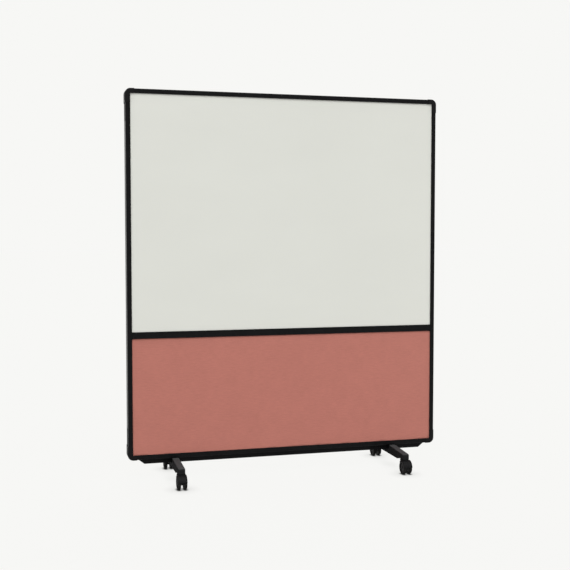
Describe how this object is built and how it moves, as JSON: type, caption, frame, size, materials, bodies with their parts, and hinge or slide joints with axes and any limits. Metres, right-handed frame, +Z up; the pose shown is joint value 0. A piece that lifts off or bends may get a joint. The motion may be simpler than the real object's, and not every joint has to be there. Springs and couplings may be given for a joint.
{
  "type": "rolling partition",
  "caption": "Free-standing double-sided partition with a whiteboard above a fabric tack panel, framed in black, on feet with swivelling twin-wheel casters.",
  "frame": {"origin": "on the floor, below the middle of the partition", "axes": "+Z up, +X along the partition to the right as seen from the front, the front with its casters at -Y"},
  "size_m": [1.532, 0.481, 1.8205],
  "materials": {
    "black_frame": "satin black anodised",
    "black_moulding": "fine textured black",
    "edge_strip": "smooth dark grey",
    "zinc_steel": "zinc plated",
    "black_steel": "black oxide",
    "white_enamel": "semi-gloss enamel",
    "salmon_fabric": "plain woven cloth on fibreboard",
    "board_core": "light core board",
    "cast_foot": "black powder coat",
    "wheel_nylon": "moulded nylon",
    "tyre_rubber": "soft tread"
  },
  "bodies": {
    "partition": {"left_stile": "black_frame", "right_stile": "black_frame", "top_rail": "black_frame", "bottom_rail": "black_frame", "mid_rail": "black_frame", "under_beam": "black_frame", "left_edge_strip": "edge_strip", "right_edge_strip": "edge_strip", "top_edge_strip": "edge_strip", "corner_cap_top_right": "black_moulding", "corner_cap_top_left": "black_moulding", "corner_cap_bottom_right": "black_moulding", "corner_cap_bottom_left": "black_moulding", "cap_screw_top_right": "zinc_steel", "cap_screw_top_left": "zinc_steel", "cap_screw_bottom_right": "zinc_steel", "cap_screw_bottom_left": "zinc_steel", "whiteboard_front": "white_enamel", "whiteboard_back": "white_enamel", "tack_panel_front": "salmon_fabric", "tack_panel_back": "salmon_fabric", "whiteboard_core": "board_core", "tack_core": "board_core", "foot_left": "cast_foot", "foot_right": "cast_foot", "foot_bolt_left_outer": "zinc_steel", "foot_bolt_left_inner": "zinc_steel", "foot_bolt_right_outer": "zinc_steel", "foot_bolt_right_inner": "zinc_steel", "caster_stem_front_left": "black_steel", "caster_stem_front_right": "black_steel", "caster_stem_back_left": "black_steel", "caster_stem_back_right": "black_steel"},
    "caster_front_left": {"caster_body_front_left": "black_moulding", "caster_axle_front_left": "zinc_steel"},
    "wheels_front_left_a": {"wheel_front_left_a": "wheel_nylon", "tyre_front_left_a": "tyre_rubber"},
    "wheels_front_left_b": {"wheel_front_left_b": "wheel_nylon", "tyre_front_left_b": "tyre_rubber"},
    "caster_front_right": {"caster_body_front_right": "black_moulding", "caster_axle_front_right": "zinc_steel"},
    "wheels_front_right_a": {"wheel_front_right_a": "wheel_nylon", "tyre_front_right_a": "tyre_rubber"},
    "wheels_front_right_b": {"wheel_front_right_b": "wheel_nylon", "tyre_front_right_b": "tyre_rubber"},
    "caster_back_left": {"caster_body_back_left": "black_moulding", "caster_axle_back_left": "zinc_steel"},
    "wheels_back_left_a": {"wheel_back_left_a": "wheel_nylon", "tyre_back_left_a": "tyre_rubber"},
    "wheels_back_left_b": {"wheel_back_left_b": "wheel_nylon", "tyre_back_left_b": "tyre_rubber"},
    "caster_back_right": {"caster_body_back_right": "black_moulding", "caster_axle_back_right": "zinc_steel"},
    "wheels_back_right_a": {"wheel_back_right_a": "wheel_nylon", "tyre_back_right_a": "tyre_rubber"},
    "wheels_back_right_b": {"wheel_back_right_b": "wheel_nylon", "tyre_back_right_b": "tyre_rubber"}
  },
  "joints": [
    {"name": "swivel_front_left", "type": "hinge", "parent": "partition", "child": "caster_front_left", "pos_m": [-0.544, -0.188, 0.067], "axis": [0, 0, 1], "continuous": true},
    {"name": "roll_front_left_a", "type": "hinge", "parent": "caster_front_left", "child": "wheels_front_left_a", "pos_m": [-0.544, -0.206, 0.032], "axis": [1, 0, 0], "continuous": true},
    {"name": "roll_front_left_b", "type": "hinge", "parent": "caster_front_left", "child": "wheels_front_left_b", "pos_m": [-0.544, -0.206, 0.032], "axis": [1, 0, 0], "continuous": true},
    {"name": "swivel_front_right", "type": "hinge", "parent": "partition", "child": "caster_front_right", "pos_m": [0.544, -0.188, 0.067], "axis": [0, 0, 1], "continuous": true},
    {"name": "roll_front_right_a", "type": "hinge", "parent": "caster_front_right", "child": "wheels_front_right_a", "pos_m": [0.544, -0.206, 0.032], "axis": [1, 0, 0], "continuous": true},
    {"name": "roll_front_right_b", "type": "hinge", "parent": "caster_front_right", "child": "wheels_front_right_b", "pos_m": [0.544, -0.206, 0.032], "axis": [1, 0, 0], "continuous": true},
    {"name": "swivel_back_left", "type": "hinge", "parent": "partition", "child": "caster_back_left", "pos_m": [-0.544, 0.188, 0.067], "axis": [0, 0, 1], "continuous": true},
    {"name": "roll_back_left_a", "type": "hinge", "parent": "caster_back_left", "child": "wheels_back_left_a", "pos_m": [-0.544, 0.206, 0.032], "axis": [1, 0, 0], "continuous": true},
    {"name": "roll_back_left_b", "type": "hinge", "parent": "caster_back_left", "child": "wheels_back_left_b", "pos_m": [-0.544, 0.206, 0.032], "axis": [1, 0, 0], "continuous": true},
    {"name": "swivel_back_right", "type": "hinge", "parent": "partition", "child": "caster_back_right", "pos_m": [0.544, 0.188, 0.067], "axis": [0, 0, 1], "continuous": true},
    {"name": "roll_back_right_a", "type": "hinge", "parent": "caster_back_right", "child": "wheels_back_right_a", "pos_m": [0.544, 0.206, 0.032], "axis": [1, 0, 0], "continuous": true},
    {"name": "roll_back_right_b", "type": "hinge", "parent": "caster_back_right", "child": "wheels_back_right_b", "pos_m": [0.544, 0.206, 0.032], "axis": [1, 0, 0], "continuous": true}
  ]
}
